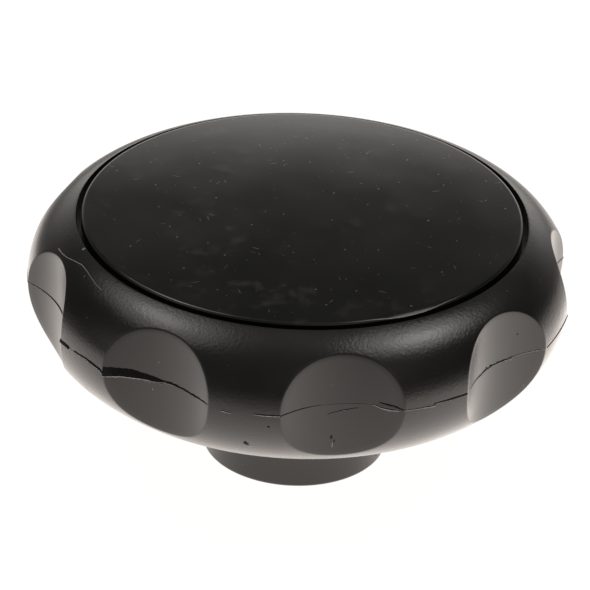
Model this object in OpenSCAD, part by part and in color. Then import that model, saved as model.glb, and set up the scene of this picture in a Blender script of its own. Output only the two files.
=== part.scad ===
// Scalloped hand knob: moulded body, pressed-in cover cap and moulded-in brass bush.
// Millimetres, +Z up, the foot of the boss stands on z = 0, one scallop faces -Y.

/* [Rim] */
// Radius at the parting line, the widest place
rim_r = 35; // [28:0.5:45]
// Arc of the shoulder above the parting line
shoulder_r = 9.3; // [8:0.1:11]
// Arc of the side just below the parting line
side_r = 10.5; // [8:0.1:12]
// Wider arc that carries the side on to the underside
under_r = 15.5; // [13:0.1:17]

/* [Scallops] */
// Finger scallops around the rim
scallop_count = 9; // [6:1:10]
// Depth of a scallop at the parting line
scallop_depth = 3; // [1.5:0.1:4]
// Radius of the round tool that forms a scallop
scallop_r = 14.8; // [11:0.1:18]

/* [Parting line] */
// How far the flash stands out
flash_h = 0.15; // [0.1:0.01:0.3]
// Thickness of the flash
flash_t = 0.3; // [0.2:0.05:0.5]

/* [Boss] */
// Radius of the boss
boss_r = 12; // [10.5:0.25:14]
// Boss length below the rim
boss_drop = 12.65; // [9:0.05:18]
// Fillet where the boss meets the rim
boss_fillet = 2; // [1:0.1:3]
// Rounding of the foot edge
foot_round = 0.5; // [0.2:0.1:1]

/* [Cap] */
// Rim from the parting line in to the mouth of the recess
lip_inset = 6.1; // [5:0.05:7]
// Shadow groove between the lip and the cap
groove_w = 0.7; // [0.5:0.05:1.2]
// Edge of the cap above the lip
cap_proud = 0.4; // [0.1:0.05:0.8]
// Height of the cap edge on its seat
cap_t = 2.3; // [1.8:0.1:3]
// Rise of the cap from its edge to the middle
cap_crown = 1; // [0.9:0.1:2]
// Rounding of the cap edge
cap_round = 0.4; // [0.2:0.1:1.4]
// Width of the seat that carries the cap
seat_w = 2.5; // [1.5:0.1:3]
// Wall of the cap skirt
skirt_t = 1.4; // [1:0.1:2]
// Length of the cap skirt
skirt_l = 5; // [4:0.1:6.5]
// Gap between the skirt and the body
skirt_gap = 0.15; // [0.1:0.05:0.3]
// How far the snap bead stands out of the skirt
bead_h = 0.4; // [0.3:0.05:0.6]
// Slots that let the skirt spring
slot_count = 6; // [3:1:8]
// Width of a slot
slot_w = 3; // [2:0.1:5]
// Solid ring of the skirt above the slots
slot_web = 0.8; // [0.5:0.1:1.5]

/* [Hollow] */
// Floor of the hollow above the underside
floor_t = 3.6; // [2.5:0.1:5]
// Ribs and hub above the floor
rib_h = 7; // [4:0.5:9]
// Thickness of a rib
rib_t = 2.2; // [1.5:0.1:3]

/* [Bush] */
// Size of the hexagonal bush across its flats
bush_af = 15; // [13:0.5:17]
// Length of the bush
bush_l = 20; // [16:0.5:20]
// Sink of the bush face above the foot
bush_sink = 0.2; // [0.1:0.05:0.5]
// Width of the locking groove
waist_w = 4; // [2:0.5:6]
// Depth of the locking groove
waist_h = 1; // [0.5:0.1:1.5]
// Core radius of the threaded hole
hole_r = 4.25; // [3.4:0.05:4.5]
// Depth of the hole from the bush face
hole_l = 17; // [12:0.5:17]
// Chamfer at the mouth of the hole
hole_chamfer = 1; // [0.5:0.1:1.5]

/* [Hidden] */
$fn = 96;
JOINT = 45;
HEX = 6;
FINE = 1000;
CROWN_FLAT = 0.01;
OVER = 1;
// Arc centres of the rim section
side_x = rim_r - side_r;
under_x = side_x + (side_r - under_r) * cos(JOINT);
seam_z = boss_drop + under_r - (under_r - side_r) * sin(JOINT);
under_z = seam_z + (under_r - side_r) * sin(JOINT);
shoulder_x = rim_r - shoulder_r;
// Recess, seat and hollow
recess_r = rim_r - lip_inset;
lip_z = seam_z + sqrt(pow(shoulder_r, 2) - pow(recess_r - shoulder_x, 2));
edge_z = lip_z + cap_proud;
seat_z = edge_z - cap_t;
hollow_r = recess_r - seat_w;
floor_z = boss_drop + floor_t;
hub_r = boss_r - OVER;
hub_z = floor_z + rib_h;
// Cap
cap_r = recess_r - groove_w;
dome_r = (pow(cap_r, 2) + pow(cap_crown, 2)) / (2 * cap_crown);
dome_z = edge_z + cap_crown - dome_r;
round_x = cap_r - cap_round;
round_z = dome_z + sqrt(pow(dome_r - cap_round, 2) - pow(round_x, 2));
round_lean = asin(round_x / (dome_r - cap_round));
skirt_r = hollow_r - skirt_gap;
bead_z = seat_z - skirt_l + bead_h * 2;
// Scallops
scallop_x = rim_r - scallop_depth + scallop_r;
scallop_step = 360 / scallop_count;
// Bush
bush_r = bush_af / 2 / cos(180 / HEX);
waist_r = bush_af / 2 - waist_h;
waist_z = bush_sink + (bush_l - waist_w) / 2;

// Half section of the rim before it is hollowed, every curve a true arc
module rim_section() {
    intersection() {
        translate([shoulder_x, seam_z]) circle(shoulder_r);
        translate([shoulder_x, seam_z]) square(shoulder_r);
    }
    intersection() {
        translate([side_x, seam_z]) circle(side_r);
        translate([side_x, seam_z])
            polygon([[0, 0], [2 * side_r * cos(JOINT), -2 * side_r * sin(JOINT)], [2 * side_r, 0]]);
    }
    intersection() {
        translate([under_x, under_z]) circle(under_r);
        translate([under_x, under_z])
            polygon([[0, 0], [0, -2 * under_r], [2 * under_r * cos(JOINT), -2 * under_r * sin(JOINT)]]);
    }
    polygon([
        [0, boss_drop], [under_x, boss_drop], [under_x, under_z], [side_x, seam_z],
        [shoulder_x, seam_z], [shoulder_x, seam_z + shoulder_r], [0, seam_z + shoulder_r]
    ]);
}

// Half section of the boss with its fillet and rounded foot
module boss_section() {
    difference() {
        union() {
            square([boss_r, boss_drop + OVER]);
            translate([0, boss_drop - boss_fillet]) square([boss_r + boss_fillet, boss_fillet]);
        }
        translate([boss_r + boss_fillet, boss_drop - boss_fillet]) circle(boss_fillet);
        difference() {
            translate([boss_r - foot_round, 0]) square(foot_round);
            translate([boss_r - foot_round, foot_round]) circle(foot_round);
        }
    }
}

// Half section of the space under the cap: recess, hollow around the hub, snap groove
module hollow_section() {
    translate([0, seat_z]) square([recess_r, rim_r]);
    translate([0, hub_z]) square([hollow_r, rim_r]);
    translate([hub_r, floor_z]) square([hollow_r - hub_r, rim_r]);
    translate([skirt_r, bead_z]) circle(bead_h + skirt_gap);
}

// One straight round scallop tool, in front of the rim
module scallop() {
    translate([0, -scallop_x, 0]) cylinder(h = 2 * rim_r, r = scallop_r);
}

// Thin flash that follows the whole outline at the parting line
module flash() {
    translate([0, 0, seam_z - flash_t / 2])
        linear_extrude(flash_t)
            difference() {
                circle(rim_r + flash_h);
                for (i = [0 : scallop_count - 1])
                    rotate(i * scallop_step) translate([0, -scallop_x]) circle(scallop_r - flash_h);
            }
}

// Outside of the bush, also the pocket it leaves in the moulding
module bush_solid() {
    difference() {
        translate([0, 0, bush_sink]) cylinder(h = bush_l, r = bush_r, $fn = HEX);
        translate([0, 0, waist_z])
            difference() {
                cylinder(h = waist_w, r = bush_r + OVER);
                cylinder(h = waist_w, r = waist_r);
            }
    }
}

// Black moulding: scalloped rim, boss and ribbed hollow
module knob_body() {
    color([0.06, 0.06, 0.06]) {
        difference() {
            union() {
                difference() {
                    rotate_extrude() union() {
                        rim_section();
                        boss_section();
                    }
                    for (i = [0 : scallop_count - 1]) rotate(i * scallop_step) scallop();
                }
                flash();
            }
            rotate_extrude() hollow_section();
            bush_solid();
            cylinder(h = 2 * bush_sink, r = bush_r, $fn = HEX, center = true);
        }
        for (i = [0 : scallop_count - 1])
            rotate(scallop_step * (i + 0.5))
                translate([-rib_t / 2, -hollow_r - OVER, floor_z - OVER])
                    cube([rib_t, hollow_r - hub_r + 2 * OVER, rib_h + OVER]);
    }
}

// Black disc with a slotted snap skirt
module cover_cap() {
    color([0.05, 0.05, 0.05])
        difference() {
            rotate_extrude() {
                intersection() {
                    translate([0, dome_z]) circle(dome_r, $fn = FINE);
                    square([cap_r, edge_z + cap_crown - CROWN_FLAT]);
                    polygon([
                        [0, seat_z], [cap_r, seat_z], [cap_r, round_z], [round_x, round_z],
                        [round_x + 2 * cap_round * sin(round_lean), round_z + 2 * cap_round * cos(round_lean)],
                        [0, edge_z + 2 * cap_crown + cap_round]
                    ]);
                }
                translate([round_x, round_z])
                    intersection() {
                        circle(cap_round);
                        polygon([
                            [0, 0], [2 * cap_round, 0], [2 * cap_round, 2 * cap_round],
                            [2 * cap_round * sin(round_lean), 2 * cap_round * cos(round_lean)]
                        ]);
                    }
                translate([skirt_r - skirt_t, seat_z - skirt_l]) square([skirt_t, skirt_l + OVER]);
                translate([skirt_r, bead_z]) circle(bead_h);
            }
            for (i = [0 : slot_count - 1])
                rotate(i * 360 / slot_count)
                    translate([-slot_w / 2, 0, seat_z - skirt_l - OVER])
                        cube([slot_w, rim_r, skirt_l - slot_web + OVER]);
        }
}

// Brass bush with a locking groove and a blind hole from below
module threaded_bush() {
    color([0.78, 0.62, 0.33])
        difference() {
            bush_solid();
            translate([0, 0, bush_sink]) cylinder(h = hole_l, r = hole_r);
            translate([0, 0, bush_sink]) cylinder(h = hole_chamfer, r1 = hole_r + hole_chamfer, r2 = hole_r);
        }
}

knob_body();
cover_cap();
threaded_bush();
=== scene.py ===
import math

import bpy
from mathutils import Matrix, Vector, noise


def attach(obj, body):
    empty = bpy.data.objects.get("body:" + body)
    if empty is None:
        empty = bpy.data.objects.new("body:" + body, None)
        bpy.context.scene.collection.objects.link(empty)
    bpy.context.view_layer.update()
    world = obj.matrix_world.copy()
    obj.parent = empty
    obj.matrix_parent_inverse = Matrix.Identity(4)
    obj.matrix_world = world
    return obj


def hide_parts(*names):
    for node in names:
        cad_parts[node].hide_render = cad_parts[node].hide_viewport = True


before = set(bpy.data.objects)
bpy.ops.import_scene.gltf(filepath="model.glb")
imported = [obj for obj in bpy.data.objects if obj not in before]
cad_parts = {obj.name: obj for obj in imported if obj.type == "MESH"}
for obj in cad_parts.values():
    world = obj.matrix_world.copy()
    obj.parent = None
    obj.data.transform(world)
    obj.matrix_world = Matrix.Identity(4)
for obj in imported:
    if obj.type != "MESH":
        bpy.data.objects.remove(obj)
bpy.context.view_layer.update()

# Threaded bush
# A brass bush sawn from hexagonal bar, with a turned locking groove and a blind M10 thread cut from below.
# It stands in the mould before the body is shot round it, and only its lower face shows, in the boss's foot.
MM = 0.001
bush_flats = 15 * MM
bush_low = 0.2 * MM
bush_top = 20.2 * MM
waist_low = 8.2 * MM
waist_top = 12.2 * MM
waist_r = 6.5 * MM
thread_core_r = 4.25 * MM
thread_root_r = 4.95 * MM
thread_pitch = 1.5 * MM
thread_top = 17.2 * MM
mouth_chamfer = 1.0 * MM
drill_tip = 1.6 * MM
bush_break = 0.25 * MM
thread_flat = 1.15
HEX_SIDE = math.tau / 6
BUSH_STEPS = 96
THREAD_POINTS = 8
BUSH_CREASE = math.radians(28)
WELD = 0.001 * MM
SPARE = 0.1 * MM


def turn(name, section, steps):
    """Draws a half section from points (radius, height), as on a lathe, and spins it once round the axis."""
    bpy.ops.object.select_all(action="DESELECT")
    bpy.ops.mesh.primitive_plane_add(size=MM, location=(section[0][0], 0, section[0][1]))
    piece = bpy.context.object
    piece.name = name
    piece.data.name = name
    bpy.ops.object.transform_apply(location=True)
    bpy.ops.object.mode_set(mode="EDIT")
    bpy.ops.mesh.select_mode(type="VERT")
    bpy.ops.mesh.select_all(action="SELECT")
    bpy.ops.mesh.merge(type="CENTER")
    for start, end in zip(section, section[1:]):
        step = (end[0] - start[0], 0, end[1] - start[1])
        bpy.ops.mesh.extrude_region_move(TRANSFORM_OT_translate={"value": step})
    bpy.ops.mesh.select_all(action="SELECT")
    bpy.ops.mesh.spin(steps=steps, angle=math.tau, center=(0, 0, 0), axis=(0, 0, 1))
    bpy.ops.mesh.select_all(action="SELECT")
    bpy.ops.mesh.remove_doubles(threshold=WELD)
    bpy.ops.mesh.normals_make_consistent(inside=False)
    bpy.ops.object.mode_set(mode="OBJECT")
    return piece


def hexagon(angle, flats):
    """Distance from the middle to the side of a hexagon with a corner on +X."""
    side = (angle + HEX_SIDE / 2) % HEX_SIDE - HEX_SIDE / 2
    return flats / 2 / math.cos(HEX_SIDE / 2 - abs(side))


def threads():
    """Heights of the points along the threaded wall, several to a turn of the thread."""
    low = bush_low + mouth_chamfer
    count = round((thread_top - low) / thread_pitch * THREAD_POINTS)
    return [low + (thread_top - low) * i / count for i in range(count + 1)]


bush_r = bush_flats / 2
bush_section = [(0, bush_top), (bush_r - bush_break, bush_top), (bush_r, bush_top - bush_break)]
bush_section += [(bush_r, waist_top), (waist_r, waist_top), (waist_r, waist_low), (bush_r, waist_low)]
bush_section += [(bush_r, bush_low + bush_break), (bush_r - bush_break, bush_low)]
bush_section += [(thread_root_r + mouth_chamfer / 2, bush_low)]
bush_section += [(thread_core_r, z) for z in threads()]
bush_section += [(0, thread_top + drill_tip)]
bush = turn("threaded_bush_brass", bush_section, BUSH_STEPS)
for vertex in bush.data.vertices:
    x, y, z = vertex.co
    r = math.hypot(x, y)
    angle = math.atan2(y, x)
    on_wall = thread_core_r - SPARE < r < waist_r - SPARE
    if r > waist_r + SPARE:
        scale = hexagon(angle, bush_flats) / bush_r
    elif on_wall and bush_low + mouth_chamfer < z < thread_top:
        lead = abs((z / thread_pitch - angle / math.tau) % 1 - 0.5) * 2
        depth = (thread_root_r - thread_core_r) * min(1, lead * thread_flat)
        scale = (thread_core_r + depth) / thread_core_r
    else:
        scale = 1
    vertex.co = (x * scale, y * scale, z)
bpy.ops.object.shade_smooth_by_angle(angle=BUSH_CREASE)

brass = bpy.data.materials.new("turned_brass")
brass.use_nodes = True
nodes = brass.node_tree.nodes
links = brass.node_tree.links
shader = nodes["Principled BSDF"]
shader.inputs["Metallic"].default_value = 1.0
place = nodes.new("ShaderNodeTexCoord")
tool_marks = nodes.new("ShaderNodeTexWave")
tool_marks.wave_type = "RINGS"
tool_marks.rings_direction = "Z"
tool_marks.inputs["Scale"].default_value = 1400
tool_marks.inputs["Distortion"].default_value = 1.5
links.new(place.outputs["Object"], tool_marks.inputs["Vector"])
tarnish = nodes.new("ShaderNodeTexNoise")
tarnish.inputs["Scale"].default_value = 320
tarnish.inputs["Detail"].default_value = 6
links.new(place.outputs["Object"], tarnish.inputs["Vector"])
brass_colour = nodes.new("ShaderNodeValToRGB")
brass_colour.color_ramp.elements[0].position = 0.3
brass_colour.color_ramp.elements[0].color = (0.42, 0.27, 0.09, 1)
brass_colour.color_ramp.elements[1].position = 0.7
brass_colour.color_ramp.elements[1].color = (0.72, 0.52, 0.22, 1)
links.new(tarnish.outputs["Fac"], brass_colour.inputs["Fac"])
links.new(brass_colour.outputs["Color"], shader.inputs["Base Color"])
brass_gloss = nodes.new("ShaderNodeMapRange")
brass_gloss.inputs["To Min"].default_value = 0.24
brass_gloss.inputs["To Max"].default_value = 0.46
links.new(tarnish.outputs["Fac"], brass_gloss.inputs["Value"])
links.new(brass_gloss.outputs["Result"], shader.inputs["Roughness"])
mark_depth = nodes.new("ShaderNodeBump")
mark_depth.inputs["Strength"].default_value = 0.12
mark_depth.inputs["Distance"].default_value = 0.02 * MM
links.new(tool_marks.outputs["Fac"], mark_depth.inputs["Height"])
links.new(mark_depth.outputs["Normal"], shader.inputs["Normal"])
bush.data.materials.append(brass)
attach(bush, "root")
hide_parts("threaded_bush")

# Knob body
# One black moulding: a round rim with finger scallops, a boss below and a hollow above that the cap closes.
# Its two mould halves meet on the widest line, and a thin ragged flash is left there.
rim_r = 35.0 * MM
shoulder_r = 9.3 * MM
side_r = 10.5 * MM
under_r = 15.5 * MM
boss_drop = 12.65 * MM
boss_r = 12.0 * MM
boss_fillet = 2.0 * MM
foot_round = 0.5 * MM
scallop_count = 9
scallop_depth = 3.0 * MM
scallop_r = 14.8 * MM
scallop_round = 0.15 * MM
scallop_draft = math.tan(math.radians(0.8))
recess_r = 28.9 * MM
lip_round = 0.12 * MM
seat_drop = 1.9 * MM
seat_w = 2.5 * MM
hollow_r = recess_r - seat_w
floor_z = 16.25 * MM
hub_z = 23.25 * MM
hub_r = 10.75 * MM
rib_t = 2.2 * MM
rib_bite = 1.0 * MM
skirt_gap = 0.15 * MM
groove_drop = 4.2 * MM
groove_r = 0.55 * MM
groove_at = hollow_r - skirt_gap
lip_band = 0.8 * MM
under_band = 3.0 * MM
JOINT = math.tau / 8
SECTOR = math.tau / scallop_count
RING_STEPS = 324
HALVINGS = 40
CLOSE = 0.01 * MM
CREASE = math.radians(38)
side_x = rim_r - side_r
under_x = side_x + (side_r - under_r) * math.cos(JOINT)
seam_z = boss_drop + under_r - (under_r - side_r) * math.sin(JOINT)
under_z = seam_z + (under_r - side_r) * math.sin(JOINT)
shoulder_x = rim_r - shoulder_r
lip_z = seam_z + math.sqrt(shoulder_r ** 2 - (recess_r - shoulder_x) ** 2)
lip_run = shoulder_r * math.asin((lip_z - seam_z) / shoulder_r)
under_run = side_r * JOINT + under_r * (math.tau / 4 - JOINT)
scallop_x = rim_r - scallop_depth + scallop_r
seat_z = lip_z - seat_drop
groove_z = seat_z - groove_drop


def rim_point(run):
    """Radius and height on the rim, at a run along its section up from the parting line, or down below 0."""
    if run >= 0:
        turned = run / shoulder_r
        return shoulder_x + shoulder_r * math.cos(turned), seam_z + shoulder_r * math.sin(turned)
    if -run <= side_r * JOINT:
        turned = -run / side_r
        return side_x + side_r * math.cos(turned), seam_z - side_r * math.sin(turned)
    turned = JOINT + (-run - side_r * JOINT) / under_r
    return under_x + under_r * math.cos(turned), under_z - under_r * math.sin(turned)


def scallop_wall(angle, rise):
    """Radius of the scallop's wall at an angle from its middle and a rise over the parting line.
    Above that line the wall leans in, so that the moulding leaves its mould."""
    across = scallop_x * math.sin(angle)
    if abs(across) >= scallop_r:
        return rim_r
    upright = scallop_x * math.cos(angle) - math.sqrt(scallop_r ** 2 - across ** 2)
    return upright - scallop_draft * max(0, rise)


def scallop_edge(angle, run):
    """Share of the way from the scallop's middle to a place on the rim at which the scallop's edge lies."""
    low = 0.0
    high = 1.0
    for _ in range(HALVINGS):
        share = (low + high) / 2
        r, z = rim_point(run * share)
        if scallop_wall(angle * share, z - seam_z) < r:
            low = share
        else:
            high = share
    return high


def repeat_round(count):
    """Copies what is selected in edit mode evenly round the axis."""
    around = math.tau - math.tau / count
    bpy.ops.mesh.spin(steps=count - 1, dupli=True, angle=around, center=(0, 0, 0), axis=(0, 0, 1))


# The rim is laid out one scallop wide: a disc of rings round the scallop's middle, out to a straight border
BORDER_ACROSS = 36
BORDER_UP = 16
BORDER_DOWN = 26
IN_RINGS = 9
OUT_RINGS = 17
GRAINED_SLOT = 0
SMOOTH_SLOT = 1
half = SECTOR / 2
border = [(half, lip_run * i / BORDER_UP) for i in range(BORDER_UP)]
border += [(half - SECTOR * i / BORDER_ACROSS, lip_run) for i in range(BORDER_ACROSS)]
border += [(-half, lip_run - lip_run * i / BORDER_UP) for i in range(BORDER_UP)]
border += [(-half, -under_run * i / BORDER_DOWN) for i in range(BORDER_DOWN)]
border += [(-half + SECTOR * i / BORDER_ACROSS, -under_run) for i in range(BORDER_ACROSS)]
border += [(half, -under_run + under_run * i / BORDER_DOWN) for i in range(BORDER_DOWN)]
SPOKES = len(border)
edges_at = [scallop_edge(angle, run) for angle, run in border]
flat_disc = [(ring * MM, 0) for ring in range(IN_RINGS + OUT_RINGS + 1)]
rim = turn("rim", flat_disc, SPOKES)
ring_of = []
for vertex in rim.data.vertices:
    x, y, z = vertex.co
    ring = round(math.hypot(x, y) / MM)
    spoke = round(math.atan2(y, x) / math.tau * SPOKES) % SPOKES
    angle, run = border[spoke]
    edge = edges_at[spoke]
    if ring <= IN_RINGS:
        share = ring / IN_RINGS * edge
        edge_height = rim_point(run * edge)[1]
        angle_here = angle * share
        z = seam_z + (edge_height - seam_z) * ring / IN_RINGS
        r = scallop_wall(angle_here, z - seam_z)
    else:
        share = edge + (1 - edge) * (ring - IN_RINGS) / OUT_RINGS
        angle_here = angle * share
        r, z = rim_point(run * share)
    round_rim = angle_here - math.tau / 4
    vertex.co = (r * math.cos(round_rim), r * math.sin(round_rim), z)
    ring_of.append(ring)
for polygon in rim.data.polygons:
    on_rim = max(ring_of[v] for v in polygon.vertices) > IN_RINGS
    polygon.material_index = GRAINED_SLOT if on_rim else SMOOTH_SLOT
for vertex in rim.data.vertices:
    vertex.select = False
for polygon in rim.data.polygons:
    polygon.select = False
for line in rim.data.edges:
    line.select = all(ring_of[v] == IN_RINGS for v in line.vertices)
bpy.ops.object.mode_set(mode="EDIT")
bpy.ops.mesh.select_mode(type="EDGE")
bpy.ops.mesh.bevel(offset=scallop_round, segments=3, affect="EDGES")
bpy.ops.object.mode_set(mode="OBJECT")
# The rounded edge, which the bevel leaves selected, is as smooth as the scallop
for polygon in rim.data.polygons:
    if polygon.select:
        polygon.material_index = SMOOTH_SLOT
bpy.ops.object.mode_set(mode="EDIT")
bpy.ops.mesh.select_all(action="SELECT")
bpy.ops.mesh.normals_make_consistent(inside=False)
repeat_round(scallop_count)
bpy.ops.object.mode_set(mode="OBJECT")


def arc(x, z, radius, start, end, count):
    """Points on an arc of a half section, from one angle to another in degrees."""
    turns = [math.radians(start + (end - start) * i / count) for i in range(count + 1)]
    return [(x + radius * math.cos(a), z + radius * math.sin(a)) for a in turns]


# Inside of the moulding, from the lip down the recess to the seat, the ribbed hollow and the hub
groove_half = math.degrees(math.acos((hollow_r - groove_at) / groove_r))
hollow_section = [(recess_r, lip_z), (recess_r, lip_z - lip_band), (recess_r, seat_z), (hollow_r, seat_z)]
hollow_section += arc(groove_at, groove_z, groove_r, groove_half, -groove_half, 8)
hollow_section += [(hollow_r, floor_z), (hub_r, floor_z), (hub_r, hub_z), (0, hub_z)]
hollow = turn("hollow", hollow_section, RING_STEPS)

# Underside, boss and the pocket that the bush leaves in the moulding
boss_section = [(under_x, boss_drop), (under_x - under_band, boss_drop)]
boss_section += arc(boss_r + boss_fillet, boss_drop - boss_fillet, boss_fillet, 90, 180, 8)
boss_section += [(boss_r, boss_drop / 2)]
boss_section += arc(boss_r - foot_round, foot_round, foot_round, 0, -90, 6)
boss_section += [(bush_r, 0), (bush_r, waist_low), (waist_r, waist_low), (waist_r, waist_top)]
boss_section += [(bush_r, waist_top), (bush_r, bush_top), (0, bush_top)]
boss = turn("boss", boss_section, RING_STEPS)
for vertex in boss.data.vertices:
    x, y, z = vertex.co
    if abs(math.hypot(x, y) - bush_r) < CLOSE:
        scale = hexagon(math.atan2(y, x), bush_flats) / bush_r
        vertex.co = (x * scale, y * scale, z)

# Radial ribs in the hollow, one behind each land between two scallops
bpy.ops.object.select_all(action="DESELECT")
rib_middle = (0, (hub_r + hollow_r) / 2, (floor_z + hub_z) / 2 - rib_bite / 2)
bpy.ops.mesh.primitive_cube_add(size=1, location=rib_middle)
ribs = bpy.context.object
ribs.scale = (rib_t, hollow_r - hub_r + 2 * rib_bite, hub_z - floor_z + rib_bite)
bpy.ops.object.transform_apply(location=True, rotation=True, scale=True)
bpy.ops.object.mode_set(mode="EDIT")
bpy.ops.mesh.select_all(action="SELECT")
repeat_round(scallop_count)
bpy.ops.object.mode_set(mode="OBJECT")

# Flash along the parting line: a thin uneven ring all round, and strips where it is torn, folded or a lip.
# Stand-out and thickness of the ring are in millimetres
ring_proud = 0.02
proud_coarse = 0.04
proud_fine = 0.03
ring_thick = 0.16
thick_uneven = 0.07
FLASH_STEPS = 1200
FLASH_SIDES = 6
STRIP_STEP = 0.15
ROOT = 0.3 * MM
SKIN_LIFT = 0.01 * MM
NOSE_LEAN = 0.58
NOSE_TIP = -0.9
SECTION_MIDDLE = 0.1
BROKEN_SLOT = 0
PAINTED_SHEEN_SLOT = 1
TEAR_PITCH = 1.3
TEAR_TURN = 0.8
TEAR_FINE = 2.7
TEAR_FINE_SHARE = 0.8
TEAR_OUT = 0.5
TEAR_UP = 0.35
RING_COARSE = 0.35
RING_MIDDLE = 0.9
RING_FINE = 2.3


def skin_radius(angle, rise):
    """Radius of the moulding's outside at an angle round the axis and a rise over the parting line."""
    if seam_z + rise < boss_drop - boss_fillet:
        return boss_r
    if rise >= 0:
        rim_here = shoulder_x + math.sqrt(shoulder_r ** 2 - rise ** 2)
    elif -rise <= side_r * math.sin(JOINT):
        rim_here = side_x + math.sqrt(side_r ** 2 - rise ** 2)
    else:
        rim_here = under_x + math.sqrt(under_r ** 2 - (under_z - seam_z - rise) ** 2)
    from_middle = (angle + math.tau / 4 + half) % SECTOR - half
    return min(rim_here, scallop_wall(from_middle, rise))


def between(values, share):
    """The value at a share of the way along a row of evenly spaced values."""
    place = share * (len(values) - 1)
    step = min(int(place), len(values) - 2)
    return values[step] + (values[step + 1] - values[step]) * (place - step)


def flash_strip(name, start, end, top, slope, proud, nose, ragged):
    """A strip of flash between two angles in degrees: a face that slopes out, then a nose that turns back.
    Top over the parting line, slope height, stand-out and nose height are rows of millimetres along it."""
    bpy.ops.object.select_all(action="DESELECT")
    bpy.ops.mesh.primitive_cylinder_add(vertices=FLASH_SIDES, radius=1, depth=1)
    strip = bpy.context.object
    strip.name = name
    for part in (strip.data.vertices, strip.data.edges, strip.data.polygons):
        for item in part:
            item.select = False
    # Only the lines that run along the strip are cut
    for line in strip.data.edges:
        ends = [strip.data.vertices[v].co.z for v in line.vertices]
        line.select = ends[0] != ends[1]
    bpy.ops.object.mode_set(mode="EDIT")
    bpy.ops.mesh.select_mode(type="EDGE")
    bpy.ops.mesh.subdivide(number_cuts=max(2, int((end - start) / STRIP_STEP)))
    bpy.ops.object.mode_set(mode="OBJECT")
    # The nose is the lower face on the outside, painted pale as a highlight along the flash's lip; the root
    # is buried in the moulding
    on_root = [v.co.x < -SECTION_MIDDLE for v in strip.data.vertices]
    on_nose = [v.co.y < -SECTION_MIDDLE and not on_root[v.index] for v in strip.data.vertices]
    for polygon in strip.data.polygons:
        is_nose = all(on_nose[v] for v in polygon.vertices)
        polygon.material_index = PAINTED_SHEEN_SLOT if is_nose else BROKEN_SLOT
    for vertex in strip.data.vertices:
        up = vertex.co.y
        share = vertex.co.z + 0.5
        degrees = start + (end - start) * share
        spot = Vector((degrees * TEAR_PITCH, TEAR_TURN * up, start))
        tear = ragged * (noise.noise(spot) + TEAR_FINE_SHARE * noise.noise(spot * TEAR_FINE))
        reach = between(proud, share) * (1 + TEAR_OUT * tear)
        slope_here = between(slope, share)
        nose_here = between(nose, share)
        if up > 0:
            fall = slope_here * min(1, 1 - up)
            stand = reach * min(1, 1 - up)
        elif up > NOSE_TIP:
            fall = slope_here
            stand = reach
        else:
            fall = slope_here + nose_here
            stand = reach - NOSE_LEAN * nose_here
        rise = between(top, share) - fall + TEAR_UP * tear * (slope_here + nose_here)
        angle = math.radians(degrees)
        lift = -ROOT if on_root[vertex.index] else stand * MM + SKIN_LIFT
        r = skin_radius(angle, rise * MM) + lift
        vertex.co = (r * math.cos(angle), r * math.sin(angle), seam_z + rise * MM)
    bpy.ops.object.mode_set(mode="EDIT")
    bpy.ops.mesh.select_all(action="SELECT")
    bpy.ops.mesh.normals_make_consistent(inside=False)
    bpy.ops.object.mode_set(mode="OBJECT")
    return strip


bpy.ops.object.select_all(action="DESELECT")
bpy.ops.mesh.primitive_torus_add(
    major_segments=FLASH_STEPS, minor_segments=FLASH_SIDES, major_radius=rim_r, minor_radius=MM
)
flash = bpy.context.object
for vertex in flash.data.vertices:
    x, y, z = vertex.co
    out = (math.hypot(x, y) - rim_r) / MM
    up = z / MM
    angle = math.atan2(y, x)
    spot = Vector((math.cos(angle), math.sin(angle), 0)) * rim_r / MM
    uneven = proud_coarse * noise.noise(spot * RING_COARSE) + proud_fine * noise.noise(spot * RING_FINE)
    proud = ring_proud + uneven
    thick = ring_thick + thick_uneven * noise.noise(spot * RING_MIDDLE + Vector((0, 0, up)))
    r = skin_radius(angle, 0) + proud * MM - ROOT + out * ROOT
    vertex.co = (r * math.cos(angle), r * math.sin(angle), seam_z + up * thick / 2 * MM)

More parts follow.
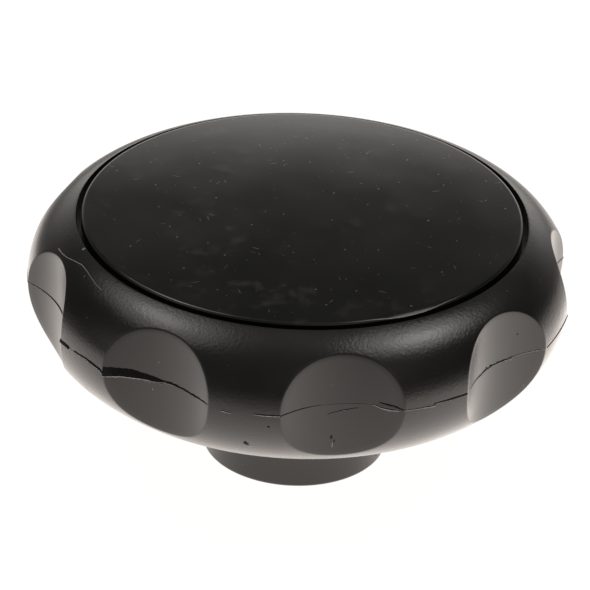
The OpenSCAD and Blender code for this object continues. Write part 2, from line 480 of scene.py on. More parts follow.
# Each row: first and last angle; top, slope, stand-out and nose at even steps between them; how torn it is
strips = (
    (-152, -143.4, (0.18, 0.27, 0.3, 0.2, 0), (0.14, 0.2, 0.18, 0.28, 0.28),
     (0.06, 0.1, 0.08, 0.12, 0.12), (0, 0.05, 0.1), 0.8),
    (-144.6, -143, (-0.1, -0.3), (0.05, 0.1), (0.08, 0.12), (0.12, 0.2), 0.3),
    (-142.7, -129.5, (0.45, 0.44, 0.47, 0.27, 0.12, -0.06), (1.36, 1.02, 1, 0.74, 0.58, 0.14),
     (0.15, 0.42, 0.4, 0.3, 0.24, 0.08), (0.17, 0.18, 0.17, 0.16, 0.1, 0.06), 0.2),
    (-129.9, -117.6, (0.05, 0.15, 0.06, 0.03, 0.11, 0.25), (0.3, 0.28, 0.2, 0.26, 0.2, 0.14),
     (0.12, 0.12, 0.1, 0.07), (0.1, 0.02, 0.05, 0, 0), 0.9),
    (-114.6, -112.6, (-0.17, -0.3), (0.05, 0.05), (0.07, 0.06), (0.2, 0.16), 0.4),
    (-108, -102.7, (0, 0.02, 0.08), (0.08, 0.12, 0.12), (0.05, 0.08, 0.07), (0.1, 0.2, 0.16), 0.4),
    (-102.6, -94, (0.02, 0.1, 0.1), (0.16, 0.12, 0.03), (0.06, 0.04, 0.01), (0, 0), 0.5),
    (-92.6, -86, (-1.3, -0.87, -0.55), (0.08, 0.12, 0.08), (0.02, 0.045, 0.02), (0, 0.05, 0), 0.5),
    (-81.8, -77.6, (0.42, 0.36, 0.28, 0), (0.1, 0.2, 0.22, 0.24), (0.04, 0.09, 0.1, 0.1), (0, 0, 0.03), 0.3),
    (-83, -78.2, (0.05, -0.28, -0.36, -0.26), (0.04, 0.06, 0.08, 0.06),
     (0.06, 0.1, 0.12, 0.08), (0.12, 0.26, 0.28, 0.14), 0.3),
    (-77.4, -70.4, (-0.08, -0.2, -0.22), (0.05, 0.05, 0.08), (0.05, 0.06, 0.1), (0.12, 0.1, 0.24), 0.5),
    (-70.8, -62.8, (0.05, 0.1, 0.12, 0.1), (0.1, 0.18, 0.22, 0.18),
     (0.04, 0.08, 0.09, 0.07), (0.05, 0), 0.5),
    (-60.5, -55, (-0.36, -0.2, -0.08), (0.06, 0.1, 0.14), (0.02, 0.04, 0.06), (0, 0), 0.4),
    (-55.5, -44.4, (-0.12, 0.06, 0.02, -0.04, -0.18), (0.14, 0.14, 0.12, 0.12, 0.12),
     (0.06, 0.06, 0.05, 0.05, 0.06), (0.05, 0.1, 0.08, 0.1, 0.05), 1.4),
    (-45, -37.4, (-0.05, -0.08, -0.05), (0.03, 0.03), (0.05, 0.05), (0.14, 0.16, 0.13), 0.3),
    (-36.5, -20, (-0.09, 0.08, 0.18, 0.26), (0.1, 0.14, 0.14, 0.1), (0.04, 0.06, 0.06, 0.04), (0, 0), 0.2),
    (-20.4, 14, (0.26, 0.12, 0.05, 0.1, 0.06), (0.1, 0.14, 0.1, 0.14, 0.08),
     (0.04, 0.06, 0.04, 0.07, 0.03), (0, 0), 0.5),
    (17, 51, (0.05, 0.12, 0.08, 0.16, 0.02), (0.08, 0.2, 0.12, 0.16, 0.1),
     (0.03, 0.09, 0.05, 0.08, 0.04), (0, 0.08, 0), 0.7),
    (55, 88, (0.1, 0.04, 0.12, 0.06), (0.1, 0.12, 0.2, 0.08), (0.04, 0.05, 0.08, 0.03), (0, 0), 0.5),
    (90, 122, (0.06, 0.1, 0.02, 0.12), (0.08, 0.16, 0.12, 0.1),
     (0.03, 0.07, 0.05, 0.04), (0, 0.06, 0, 0), 0.6),
    (126, 161, (0.04, 0.1, 0.14, 0.06), (0.1, 0.12, 0.18, 0.1),
     (0.04, 0.05, 0.08, 0.04), (0, 0, 0.06, 0), 0.6),
    (164, 206, (0.08, 0.04, 0.14, 0.22), (0.08, 0.1, 0.24, 0.4),
     (0.03, 0.04, 0.1, 0.16), (0, 0.04, 0.12, 0.06), 0.4),
)
torn = [flash_strip(f"strip_{i}", *row) for i, row in enumerate(strips)]

# A fibre of lint that clings to the shoulder, laid like a strip that has only a nose
fibre_start = -174.8
fibre_end = -151.5
fibre_rise = (7.2, 7.3, 7.5, 7.8, 8.0, 7.97, 7.85, 7.7, 7.6)
fibre_proud = (0.05, 0.02)
fibre_thick = (0.045, 0.015)
lint = flash_strip("lint", fibre_start, fibre_end, fibre_rise, (0, 0), fibre_proud, fibre_thick, 0)
NICK_UNEVEN = 0.5


def nick(name, degrees, rise, width, height, narrowing, proud):
    """A small fleck on the moulding's outside, its sizes in millimetres, narrower towards its top."""
    bpy.ops.object.select_all(action="DESELECT")
    bpy.ops.mesh.primitive_uv_sphere_add(segments=14, ring_count=6, radius=1)
    fleck = bpy.context.object
    fleck.name = name
    for vertex in fleck.data.vertices:
        x, y, z = vertex.co
        uneven = 1 + NICK_UNEVEN * noise.noise(Vector((2 * x, 2 * y, degrees)))
        rise_here = (rise + y * uneven * height / 2) * MM
        side = x * uneven * width / 2 * (1 - narrowing * (y + 1) / 2) * MM
        angle = math.radians(degrees) + side / skin_radius(math.radians(degrees), rise * MM)
        r = skin_radius(angle, rise_here) + proud * z * MM
        vertex.co = (r * math.cos(angle), r * math.sin(angle), seam_z + rise_here)
    return fleck


# Each row: angle, rise over the parting line, width, height, how much it narrows upwards, and stand-out
dark_nicks = (
    (-109.8, -5.1, 1.15, 0.8, 0.85, 0.04),
    (-104.9, -1.75, 0.34, 0.3, 0.0, 0.04),
    (-91.6, -4.7, 0.3, 0.55, 0.2, 0.04),
    (-90.9, -5.3, 0.16, 0.5, 0.0, 0.04),
    (-43.2, 2.95, 0.26, 0.22, 0.0, 0.04),
    (-53.6, 0.02, 0.36, 0.3, 0.0, 0.06),
    (-52.7, 0.14, 0.4, 0.34, 0.0, 0.06),
    (-52.0, -0.08, 0.34, 0.26, 0.0, 0.06),
    (-51.2, 0.12, 0.44, 0.36, 0.0, 0.06),
    (-49.9, -0.04, 0.5, 0.28, 0.0, 0.06),
    (-48.7, -0.02, 0.36, 0.34, 0.0, 0.06),
    (-47.7, -0.1, 0.4, 0.3, 0.0, 0.06),
    (-46.6, -0.12, 0.3, 0.3, 0.0, 0.06),
    (-35.7, -23.5, 0.25, 0.25, 0.0, 0.04),
)
# Pale flecks: some are real pale marks, and some are painted highlights, on the lower lip of a chip and on
# beads of flash along the parting line
pale_nicks_and_glints = (
    (-91.3, -5.7, 0.22, 0.85, 0.3, 0.05),
    (-109.2, -5.75, 0.6, 0.3, 0.0, 0.05),
    (-131.6, 2.35, 0.28, 0.16, 0.0, 0.04),
    (-132.9, -1.7, 0.16, 0.5, 0.0, 0.03),
    (-168.4, 8.6, 0.3, 0.2, 0.0, 0.05),
    (-134.5, -0.72, 0.4, 0.3, 0.0, 0.2),
    (-133.6, -0.78, 0.3, 0.26, 0.0, 0.16),
    (-131.0, -0.6, 0.3, 0.24, 0.0, 0.14),
    (-129.8, -0.26, 0.36, 0.26, 0.0, 0.14),
    (-71.3, -0.36, 0.4, 0.26, 0.0, 0.1),
    (-44.6, -0.4, 0.26, 0.36, 0.0, 0.1),
    (-41.0, -4.9, 0.1, 0.75, 0.3, 0.04),
    (-131.9, -22.5, 0.24, 0.24, 0.0, 0.05),
)
dark_flecks = [nick(f"pit_{i}", *row) for i, row in enumerate(dark_nicks)]
pale_flecks_and_glints = [nick(f"scuff_{i}", *row) for i, row in enumerate(pale_nicks_and_glints)]

body = rim
body.name = "knob_body_moulding"
body.data.name = "knob_body_moulding"


# Share of a mark's reach inside which it has its full strength
MARK_CORE = 0.4
# Sockets of a Mix node that mixes colours
MIX_SHARE = 0
MIX_FIRST = 6
MIX_SECOND = 7
MIX_RESULT = 2


def dust_marks(material, kind, turned, cells_to_metre, reach, share):
    """Scattered small pale marks, all over (3D) or as seen from above (2D), one at most in each cell.
    Cells of unequal sides make scratches; reach is a mark's size in cells, and share how many show."""
    nodes = material.node_tree.nodes
    links = material.node_tree.links
    place = nodes.new("ShaderNodeTexCoord")
    lay = nodes.new("ShaderNodeMapping")
    lay.vector_type = "TEXTURE"
    lay.inputs["Rotation"].default_value = (0, 0, turned)
    along = 1 / cells_to_metre[0]
    lay.inputs["Scale"].default_value = (along, 1 / cells_to_metre[1], along)
    links.new(place.outputs["Object"], lay.inputs["Vector"])
    cells = nodes.new("ShaderNodeTexVoronoi")
    cells.voronoi_dimensions = kind
    cells.inputs["Scale"].default_value = 1.0
    links.new(lay.outputs["Vector"], cells.inputs["Vector"])
    near = nodes.new("ShaderNodeMapRange")
    near.inputs["From Min"].default_value = reach
    near.inputs["From Max"].default_value = reach * MARK_CORE
    links.new(cells.outputs["Distance"], near.inputs["Value"])
    chance = nodes.new("ShaderNodeSeparateColor")
    links.new(cells.outputs["Color"], chance.inputs["Color"])
    kept = nodes.new("ShaderNodeMapRange")
    kept.inputs["From Min"].default_value = 1 - share
    links.new(chance.outputs["Red"], kept.inputs["Value"])
    mark = nodes.new("ShaderNodeMath")
    mark.operation = "MULTIPLY"
    links.new(near.outputs["Result"], mark.inputs[0])
    links.new(kept.outputs["Result"], mark.inputs[1])
    return mark.outputs["Value"]


def strongest(material, marks):
    """The strongest of several marks at each place."""
    nodes = material.node_tree.nodes
    links = material.node_tree.links
    best = marks[0]
    for mark in marks[1:]:
        pick = nodes.new("ShaderNodeMath")
        pick.operation = "MAXIMUM"
        links.new(best, pick.inputs[0])
        links.new(mark, pick.inputs[1])
        best = pick.outputs["Value"]
    return best


grained = bpy.data.materials.new("black_moulding_grained")
smooth = bpy.data.materials.new("black_moulding_smooth")
broken = bpy.data.materials.new("black_moulding_torn")
pale_and_sheen = bpy.data.materials.new("black_moulding_whitened")
WARMTH = (1.0, 0.98, 0.97)
GRAIN_DEPTH = 0.04 * MM
# Each row: material, its shade from dark to light, strength of the grain, its roughness from shiny to dull,
# index of refraction, and how much dust lies on it
finishes = (
    (grained, (0.0064, 0.0093), 0.5, (0.22, 0.28), 1.55, 0.9),
    (smooth, (0.0064, 0.0093), 0.04, (0.26, 0.32), 1.55, 0.15),
    (broken, (0.003, 0.005), 0.8, (0.6, 0.8), 1.3, 0.0),
    # The pale finish is the real pale colour of lint and pale marks, and a painted highlight on the flash's
    # nose and on some flecks
    (pale_and_sheen, (0.2, 0.36), 0.1, (0.25, 0.4), 1.55, 0.0),
)
for moulding, shades, grain, gloss, index, dust in finishes:
    moulding.use_nodes = True
    nodes = moulding.node_tree.nodes
    links = moulding.node_tree.links
    shader = nodes["Principled BSDF"]
    shader.inputs["IOR"].default_value = index
    place = nodes.new("ShaderNodeTexCoord")
    cloud = nodes.new("ShaderNodeTexNoise")
    cloud.inputs["Scale"].default_value = 140
    cloud.inputs["Detail"].default_value = 5
    links.new(place.outputs["Object"], cloud.inputs["Vector"])
    shade = nodes.new("ShaderNodeValToRGB")
    for stop, position, tone in zip(shade.color_ramp.elements, (0.35, 0.7), shades):
        stop.position = position
        stop.color = [tone * part for part in WARMTH] + [1]
    links.new(cloud.outputs["Fac"], shade.inputs["Fac"])
    specks = strongest(moulding, [
        dust_marks(moulding, "3D", 0.0, (310, 310), 0.05, dust),
        dust_marks(moulding, "3D", 0.7, (700, 700), 0.09, dust / 2),
    ])
    tint = nodes.new("ShaderNodeMix")
    tint.data_type = "RGBA"
    tint.inputs[MIX_SECOND].default_value = (0.12, 0.117, 0.113, 1)
    links.new(specks, tint.inputs[MIX_SHARE])
    links.new(shade.outputs["Color"], tint.inputs[MIX_FIRST])
    links.new(tint.outputs[MIX_RESULT], shader.inputs["Base Color"])
    dullness = nodes.new("ShaderNodeMapRange")
    dullness.inputs["From Min"].default_value = 0.3
    dullness.inputs["From Max"].default_value = 0.7
    dullness.inputs["To Min"].default_value = gloss[0]
    dullness.inputs["To Max"].default_value = gloss[1]
    links.new(cloud.outputs["Fac"], dullness.inputs["Value"])
    links.new(dullness.outputs["Result"], shader.inputs["Roughness"])
    pits = nodes.new("ShaderNodeTexNoise")
    pits.inputs["Scale"].default_value = 2600
    pits.inputs["Detail"].default_value = 1
    links.new(place.outputs["Object"], pits.inputs["Vector"])
    relief = nodes.new("ShaderNodeBump")
    relief.inputs["Strength"].default_value = grain
    relief.inputs["Distance"].default_value = GRAIN_DEPTH
    links.new(pits.outputs["Fac"], relief.inputs["Height"])
    links.new(relief.outputs["Normal"], shader.inputs["Normal"])
body.data.materials.append(grained)
body.data.materials.append(smooth)
for strip in torn:
    strip.data.materials.append(broken)
    strip.data.materials.append(pale_and_sheen)
for polygon in lint.data.polygons:
    polygon.material_index = 0
finished_parts = (
    (smooth, [hollow, boss, ribs]),
    (broken, [flash] + dark_flecks),
    (pale_and_sheen, [lint] + pale_flecks_and_glints),
)
for finish, parts in finished_parts:
    for part in parts:
        part.data.materials.append(finish)
bpy.ops.object.select_all(action="DESELECT")
for part in (body, hollow, boss):
    part.select_set(True)
bpy.context.view_layer.objects.active = body
bpy.ops.object.join()
bpy.ops.object.mode_set(mode="EDIT")
bpy.ops.mesh.select_all(action="SELECT")
bpy.ops.mesh.remove_doubles(threshold=CLOSE)
bpy.ops.mesh.normals_make_consistent(inside=False)
bpy.ops.mesh.select_all(action="DESELECT")
bpy.ops.object.mode_set(mode="OBJECT")
at_lip = [
    abs(math.hypot(v.co.x, v.co.y) - recess_r) < CLOSE and abs(v.co.z - lip_z) < CLOSE
    for v in body.data.vertices
]
for line in body.data.edges:
    line.select = all(at_lip[v] for v in line.vertices)
bpy.ops.object.mode_set(mode="EDIT")
bpy.ops.mesh.select_mode(type="EDGE")
bpy.ops.mesh.bevel(offset=lip_round, segments=3, affect="EDGES")
bpy.ops.object.mode_set(mode="OBJECT")
bpy.ops.object.select_all(action="DESELECT")
for part in [body, ribs, flash, lint] + torn + dark_flecks + pale_flecks_and_glints:
    part.select_set(True)
bpy.context.view_layer.objects.active = body
bpy.ops.object.join()
bpy.ops.object.shade_smooth_by_angle(angle=CREASE)
even = body.modifiers.new("even_shading", "WEIGHTED_NORMAL")
even.keep_sharp = True
bpy.ops.object.modifier_apply(modifier=even.name)
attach(body, "root")
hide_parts("knob_body")

# Cover cap
# A black moulded disc, pressed into the recess until it sits on the seat, with a dark groove left round it.
# It is a little domed, and a slotted skirt with a bead snaps into the body below.
cap_r = 28.2 * MM
cap_proud = 0.4 * MM
cap_crown = 1.0 * MM
cap_round = 0.4 * MM
cap_break = 0.1 * MM
skirt_r = hollow_r - skirt_gap
skirt_t = 1.4 * MM
skirt_l = 5.0 * MM
bead_r = 0.4 * MM
slot_count = 6
slot_w = 3.0 * MM
slot_web = 0.8 * MM
slot_over = 1.0 * MM
slot_reach = 6.0 * MM
CAP_STEPS = 288
FINE_FROM = 0.94
cap_edge_z = lip_z + cap_proud
dome_r = (cap_r ** 2 + cap_crown ** 2) / (2 * cap_crown)
dome_z = cap_edge_z + cap_crown - dome_r
round_x = cap_r - cap_round
round_z = dome_z + math.sqrt((dome_r - cap_round) ** 2 - round_x ** 2)
lean = math.degrees(math.asin(round_x / (dome_r - cap_round)))
bead_z = seat_z - skirt_l + 2 * bead_r
cap_section = arc(0, dome_z, dome_r, 90, 90 - FINE_FROM * lean, 24)
cap_section += arc(0, dome_z, dome_r, 90 - FINE_FROM * lean, 90 - lean, 12)[1:]
cap_section += arc(round_x, round_z, cap_round, 90 - lean, 0, 8)[1:]
cap_section += [(cap_r, seat_z + cap_break), (cap_r - cap_break, seat_z), (skirt_r, seat_z)]
cap_section += arc(skirt_r, bead_z, bead_r, 90, -90, 8)
cap_section += [(skirt_r, seat_z - skirt_l), (skirt_r - skirt_t, seat_z - skirt_l)]
cap_section += [(skirt_r - skirt_t, seat_z), (0, seat_z)]
cap = turn("cover_cap_disc", cap_section, CAP_STEPS)

# A worn flat on its edge, in front on the right
worn_turn = math.radians(-70)
worn_reach = cap_r * math.cos(math.radians(14.5))
worn_start = 0.05 * MM
worn_tilt = 0.2
worn_bend = 0.26 / MM
worn_foot = 0.2 * MM
for vertex in cap.data.vertices:
    x, y, z = vertex.co
    over = x * math.cos(worn_turn) + y * math.sin(worn_turn) - worn_reach
    if over > 0 and z > seat_z + worn_foot:
        vertex.co.z = min(z, cap_edge_z + worn_start - worn_tilt * over - worn_bend * over ** 2)

# Slots that let the skirt spring, cut from below
bpy.ops.object.select_all(action="DESELECT")
slot_h = skirt_l - slot_web + slot_over
bpy.ops.mesh.primitive_cube_add(size=1, location=(0, skirt_r, seat_z - skirt_l - slot_over + slot_h / 2))
slots = bpy.context.object
slots.scale = (slot_w, slot_reach, slot_h)
bpy.ops.object.transform_apply(location=True, rotation=True, scale=True)
bpy.ops.object.mode_set(mode="EDIT")
bpy.ops.mesh.select_all(action="SELECT")
repeat_round(slot_count)
bpy.ops.object.mode_set(mode="OBJECT")
bpy.ops.object.select_all(action="DESELECT")
cap.select_set(True)
bpy.context.view_layer.objects.active = cap
cut = cap.modifiers.new("slots", "BOOLEAN")
cut.operation = "DIFFERENCE"
cut.solver = "EXACT"
cut.object = slots
bpy.ops.object.modifier_apply(modifier=cut.name)
bpy.data.objects.remove(slots)
bpy.ops.object.shade_smooth_by_angle(angle=CREASE)
even = cap.modifiers.new("even_shading", "WEIGHTED_NORMAL")
even.keep_sharp = True
bpy.ops.object.modifier_apply(modifier=even.name)

satin = bpy.data.materials.new("satin_black_cap")
satin.use_nodes = True
nodes = satin.node_tree.nodes
links = satin.node_tree.links
shader = nodes["Principled BSDF"]
shader.inputs["IOR"].default_value = 1.55
place = nodes.new("ShaderNodeTexCoord")
haze = nodes.new("ShaderNodeTexNoise")
haze.inputs["Scale"].default_value = 90
haze.inputs["Detail"].default_value = 6
links.new(place.outputs["Object"], haze.inputs["Vector"])
shade = nodes.new("ShaderNodeValToRGB")
shade.color_ramp.elements[0].position = 0.35
shade.color_ramp.elements[0].color = (0.0036, 0.0036, 0.0037, 1)
shade.color_ramp.elements[1].position = 0.75
shade.color_ramp.elements[1].color = (0.0056, 0.0055, 0.0055, 1)
links.new(haze.outputs["Fac"], shade.inputs["Fac"])
patches = nodes.new("ShaderNodeTexNoise")
patches.inputs["Scale"].default_value = 55
links.new(place.outputs["Object"], patches.inputs["Vector"])
patch_edge = nodes.new("ShaderNodeMapRange")
patch_edge.inputs["From Min"].default_value = 0.44
patch_edge.inputs["From Max"].default_value = 0.64
links.new(patches.outputs["Fac"], patch_edge.inputs["Value"])
wipes = nodes.new("ShaderNodeTexNoise")
wipes.inputs["Scale"].default_value = 420
wipes.inputs["Detail"].default_value = 3
links.new(place.outputs["Object"], wipes.inputs["Vector"])
wipe_edge = nodes.new("ShaderNodeMapRange")
wipe_edge.inputs["From Min"].default_value = 0.54
wipe_edge.inputs["From Max"].default_value = 0.7
wipe_edge.inputs["To Max"].default_value = 0.12
links.new(wipes.outputs["Fac"], wipe_edge.inputs["Value"])
smudges = nodes.new("ShaderNodeMath")
smudges.operation = "MULTIPLY"
links.new(patch_edge.outputs["Result"], smudges.inputs[0])
links.new(wipe_edge.outputs["Result"], smudges.inputs[1])
marks = [smudges.outputs["Value"]]
marks.append(dust_marks(satin, "2D", 0.0, (190, 190), 0.03, 0.9))
marks.append(dust_marks(satin, "2D", 0.5, (430, 430), 0.034, 0.4))
for turned in (0.15, 0.9, 1.7, 2.5):
    marks.append(dust_marks(satin, "2D", turned, (110, 1300), 0.075, 0.03))
spread_marks = strongest(satin, marks)
# The marks end at the cap's edge, so that they don't run down its wall
marks_low = 0.3 * MM
marks_full = 0.05 * MM
cap_axes = nodes.new("ShaderNodeSeparateXYZ")
links.new(place.outputs["Object"], cap_axes.inputs["Vector"])
on_top = nodes.new("ShaderNodeMapRange")
on_top.inputs["From Min"].default_value = cap_edge_z - marks_low
on_top.inputs["From Max"].default_value = cap_edge_z - marks_full
links.new(cap_axes.outputs["Z"], on_top.inputs["Value"])
kept_marks = nodes.new("ShaderNodeMath")
kept_marks.operation = "MULTIPLY"
links.new(spread_marks, kept_marks.inputs[0])
links.new(on_top.outputs["Result"], kept_marks.inputs[1])
dusty = kept_marks.outputs["Value"]
tint = nodes.new("ShaderNodeMix")
tint.data_type = "RGBA"
tint.inputs[MIX_SECOND].default_value = (0.13, 0.127, 0.122, 1)
links.new(dusty, tint.inputs[MIX_SHARE])
links.new(shade.outputs["Color"], tint.inputs[MIX_FIRST])
links.new(tint.outputs[MIX_RESULT], shader.inputs["Base Color"])
scuff_dulls = 0.3
dullness = nodes.new("ShaderNodeMapRange")
dullness.inputs["From Min"].default_value = 0.3
dullness.inputs["From Max"].default_value = 0.7
dullness.inputs["To Min"].default_value = 0.15
dullness.inputs["To Max"].default_value = 0.2
links.new(haze.outputs["Fac"], dullness.inputs["Value"])
scuffed = nodes.new("ShaderNodeMath")
scuffed.operation = "MULTIPLY_ADD"
scuffed.inputs[1].default_value = scuff_dulls
links.new(dusty, scuffed.inputs[0])
links.new(dullness.outputs["Result"], scuffed.inputs[2])
links.new(scuffed.outputs["Value"], shader.inputs["Roughness"])
peel = nodes.new("ShaderNodeTexNoise")
peel.inputs["Scale"].default_value = 2200
peel.inputs["Detail"].default_value = 2
links.new(place.outputs["Object"], peel.inputs["Vector"])
peel_depth = nodes.new("ShaderNodeBump")
peel_depth.inputs["Strength"].default_value = 0.09
peel_depth.inputs["Distance"].default_value = 0.05 * MM
links.new(peel.outputs["Fac"], peel_depth.inputs["Height"])
links.new(peel_depth.outputs["Normal"], shader.inputs["Normal"])
cap.data.materials.append(satin)
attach(cap, "root")
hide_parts("cover_cap")

# Table and light
# The knob stands by itself on a plain white table under soft light, with darkness above it.
# White surroundings lie along the horizon, so its sides mirror them and its top stays black.
table_side = 6
table_dim = 0.25
table_white = 1.1
glow_share = 0.92
room_dim = 0.05
room_colour = (1.0, 0.965, 0.92, 1)
lamp_colour = (1.0, 0.96, 0.92)
lamp_away = 0.6
lamp_aim = Vector((0, 0, 0.025))
bpy.ops.object.select_all(action="DESELECT")
bpy.ops.mesh.primitive_plane_add(size=table_side, location=(0, 0, 0))
table = bpy.context.object
table.name = "white_table"
paper = bpy.data.materials.new("white_paper")
paper.use_nodes = True
nodes = paper.node_tree.nodes
links = paper.node_tree.links
shader = nodes["Principled BSDF"]
shader.inputs["Base Color"].default_value = (0.9, 0.9, 0.89, 1)
shader.inputs["Roughness"].default_value = 0.9
# Mirrored rays see the table glow with painted pools of light and a painted shadow; the camera sees it
# evenly white
glow = nodes.new("ShaderNodeEmission")
seen = nodes.new("ShaderNodeLightPath")
tone = nodes.new("ShaderNodeMix")
tone.data_type = "RGBA"
tone.inputs[MIX_FIRST].default_value = (1.0, 0.92, 0.865, 1)
tone.inputs[MIX_SECOND].default_value = (1.0, 0.985, 0.975, 1)
links.new(seen.outputs["Is Camera Ray"], tone.inputs[MIX_SHARE])
links.new(tone.outputs[MIX_RESULT], glow.inputs["Color"])
spot = nodes.new("ShaderNodeNewGeometry")
# Each row: middle of a painted pool of light in the table's glow, which the knob mirrors, where it starts
# and stops fading, and its brightness, below 0 for a painted shadow round the boss
painted_pools = (
    ((0.06, -0.04, 0), 0.015, 0.12, 1.25),
    ((-0.07, 0.0, 0), 0.02, 0.13, 1.12),
    ((0.12, 0.08, 0), 0.04, 0.26, 0.8),
    ((0, -0.06, 0), 0.04, 0.24, 0.29),
    ((-0.05, 0.065, 0), 0.02, 0.08, 0.65),
    ((0.045, 0.03, 0), 0.015, 0.055, 1.45),
    ((0, 0, 0), 0.012, 0.035, -0.6),
)
table_light = None
for middle, start, stop, bright in painted_pools:
    away = nodes.new("ShaderNodeVectorMath")
    away.operation = "DISTANCE"
    away.inputs[1].default_value = middle
    links.new(spot.outputs["Position"], away.inputs[0])
    fade = nodes.new("ShaderNodeMapRange")
    fade.interpolation_type = "SMOOTHSTEP"
    fade.inputs["From Min"].default_value = start
    fade.inputs["From Max"].default_value = stop
    fade.inputs["To Min"].default_value = bright
    fade.inputs["To Max"].default_value = 0.0
    links.new(away.outputs["Value"], fade.inputs["Value"])
    total = nodes.new("ShaderNodeMath")
    total.operation = "ADD"
    total.inputs[1].default_value = table_dim
    links.new(fade.outputs["Result"], total.inputs[0])
    if table_light is not None:
        links.new(table_light, total.inputs[1])
    table_light = total.outputs["Value"]
brightness = nodes.new("ShaderNodeMix")
brightness.inputs["B"].default_value = table_white
links.new(seen.outputs["Is Camera Ray"], brightness.inputs["Factor"])
links.new(table_light, brightness.inputs["A"])
links.new(brightness.outputs["Result"], glow.inputs["Strength"])
direct = nodes.new("ShaderNodeMath")
direct.operation = "MAXIMUM"
links.new(seen.outputs["Is Camera Ray"], direct.inputs[0])
links.new(seen.outputs["Is Glossy Ray"], direct.inputs[1])
clear = nodes.new("ShaderNodeMath")
clear.operation = "MAXIMUM"
links.new(direct.outputs["Value"], clear.inputs[0])
links.new(seen.outputs["Is Transmission Ray"], clear.inputs[1])
part_glow = nodes.new("ShaderNodeMath")
part_glow.operation = "MULTIPLY"
part_glow.inputs[1].default_value = glow_share
links.new(clear.outputs["Value"], part_glow.inputs[0])
blend = nodes.new("ShaderNodeMixShader")
links.new(part_glow.outputs["Value"], blend.inputs["Fac"])
links.new(shader.outputs["BSDF"], blend.inputs[1])
links.new(glow.outputs["Emission"], blend.inputs[2])
links.new(blend.outputs["Shader"], nodes["Material Output"].inputs["Surface"])
table.data.materials.append(paper)

world = bpy.data.worlds.new("white_horizon")
world.use_nodes = True
bpy.context.scene.world = world
nodes = world.node_tree.nodes
links = world.node_tree.links
way = nodes.new("ShaderNodeTexCoord")
axes = nodes.new("ShaderNodeSeparateXYZ")
links.new(way.outputs["Generated"], axes.inputs["Vector"])
# Each row: compass angle and height angle of a soft glow in the room, its spread in degrees, its brightness,
# and the height angle where it ends, as the white sheet behind the knob does; over 90 it has no end
glows = (
    (78, 11, 15, 1.5, 25),
    (78, 6, 22, 0.75, 25),
    (97, 22, 8, 0.18, 90),
    (59, 22, 8, 0.26, 90),
    (-166, 2, 14, 0.6, 90),
    (-76, 24, 13, 0.35, 90),
    (-100, 10, 45, 0.07, 120),
    (-100, 90, 24, 0.25, 120),
)
SHEET_FADE = 11
room_light = None
for turn_round, height, spread, bright, top in glows:
    level = math.cos(math.radians(height))
    toward = nodes.new("ShaderNodeVectorMath")
    toward.operation = "DOT_PRODUCT"
    toward.inputs[1].default_value = (
        level * math.cos(math.radians(turn_round)),
        level * math.sin(math.radians(turn_round)),
        math.sin(math.radians(height)),
    )
    links.new(way.outputs["Generated"], toward.inputs[0])
    aside = nodes.new("ShaderNodeMath")
    aside.operation = "MULTIPLY_ADD"
    aside.inputs[1].default_value = 1 / math.radians(spread) ** 2
    aside.inputs[2].default_value = -1 / math.radians(spread) ** 2
    links.new(toward.outputs["Value"], aside.inputs[0])
    fade = nodes.new("ShaderNodeMath")
    fade.operation = "EXPONENT"
    links.new(aside.outputs["Value"], fade.inputs[0])
    sheet_top = nodes.new("ShaderNodeMapRange")
    sheet_top.interpolation_type = "SMOOTHSTEP"
    sheet_top.inputs["From Min"].default_value = math.sin(math.radians(min(90, top) - SHEET_FADE))
    sheet_top.inputs["From Max"].default_value = math.sin(math.radians(min(90, top)))
    sheet_top.inputs["To Min"].default_value = bright
    sheet_top.inputs["To Max"].default_value = bright if top > 90 else 0.0
    links.new(axes.outputs["Z"], sheet_top.inputs["Value"])
    total = nodes.new("ShaderNodeMath")
    total.operation = "MULTIPLY_ADD"
    total.inputs[2].default_value = room_dim
    links.new(fade.outputs["Value"], total.inputs[0])
    links.new(sheet_top.outputs["Result"], total.inputs[1])
    if room_light is not None:
        links.new(room_light, total.inputs[2])
    room_light = total.outputs["Value"]
seen = nodes.new("ShaderNodeLightPath")
backdrop = nodes.new("ShaderNodeMix")
backdrop.inputs["B"].default_value = 1.0
links.new(seen.outputs["Is Camera Ray"], backdrop.inputs["Factor"])
links.new(room_light, backdrop.inputs["A"])
links.new(backdrop.outputs["Result"], nodes["Background"].inputs["Strength"])
nodes["Background"].inputs["Color"].default_value = room_colour


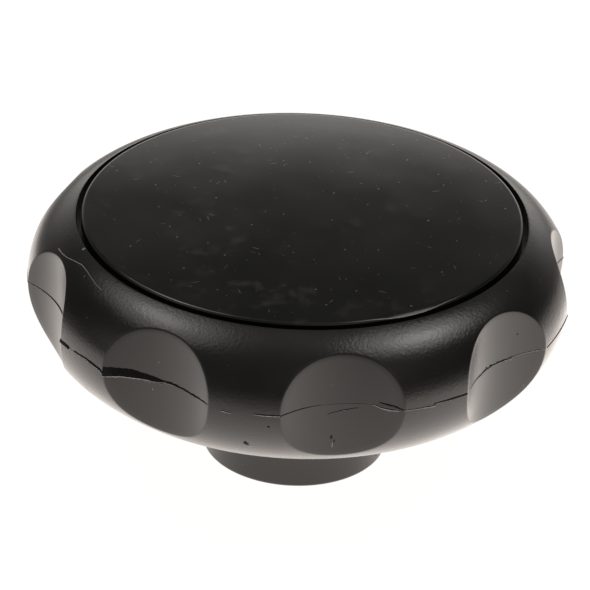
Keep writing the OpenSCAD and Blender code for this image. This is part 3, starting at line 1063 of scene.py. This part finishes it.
def soft_lamp(name, turn_round, height, wide, high, radiance):
    """An oval soft lamp at a compass angle and a height angle, its half width and half height in degrees."""
    compass = math.radians(turn_round)
    above = math.radians(height)
    level = math.cos(above)
    facing = Vector((level * math.cos(compass), level * math.sin(compass), math.sin(above)))
    light = bpy.data.lights.new(name, "AREA")
    light.shape = "ELLIPSE"
    light.size = 2 * lamp_away * math.tan(math.radians(wide))
    light.size_y = 2 * lamp_away * math.tan(math.radians(high))
    face = math.pi * light.size * light.size_y / 4
    light.energy = radiance * math.pi * face
    light.color = lamp_colour
    lamp = bpy.data.objects.new(name, light)
    bpy.context.scene.collection.objects.link(lamp)
    lamp.location = lamp_aim + facing * lamp_away
    lamp.rotation_euler = facing.to_track_quat("Z", "Y").to_euler()


soft_lamp("left_lamp", 160, 58, 11, 6, 3.4)
soft_lamp("left_diffuser", 164, 57, 26, 17, 1.15)
soft_lamp("right_lamp", -19, 58, 9, 6, 4.9)
soft_lamp("right_diffuser", -17, 59, 21, 17, 1.9)

# Camera
# A long lens that looks down on the knob from the photograph's viewing angle, turned and rolled a little.
# Its distance and aim are measured from the middle of the cap's edge.
view_height = 33.7 * MM
view_turn = math.radians(-9.753)
view_tilt = math.radians(28.32)
view_roll = math.radians(2.187)
view_distance = 506.8 * MM
view_aim = (-0.957 * MM, -10.39 * MM)
flat_share = math.cos(view_tilt)
back = Vector((math.sin(view_turn) * flat_share, -math.cos(view_turn) * flat_share, math.sin(view_tilt)))
level = Vector((math.cos(view_turn), math.sin(view_turn), 0))
upright = back.cross(level)
right = math.cos(view_roll) * level + math.sin(view_roll) * upright
up = math.cos(view_roll) * upright - math.sin(view_roll) * level
centre = Vector((0, 0, view_height))
eye = centre + back * view_distance
target = centre + right * view_aim[0] + up * view_aim[1]
toward = (eye - target).normalized()
across = up.cross(toward).normalized()
lens = bpy.data.cameras.new("camera")
lens.sensor_width = 36
lens.lens = 242.36
camera = bpy.data.objects.new("camera", lens)
bpy.context.scene.collection.objects.link(camera)
overhead = toward.cross(across)
camera.matrix_world = Matrix([
    (across.x, overhead.x, toward.x, eye.x),
    (across.y, overhead.y, toward.y, eye.y),
    (across.z, overhead.z, toward.z, eye.z),
    (0, 0, 0, 1),
])
bpy.context.scene.camera = camera
bpy.context.scene.view_settings.view_transform = "Standard"
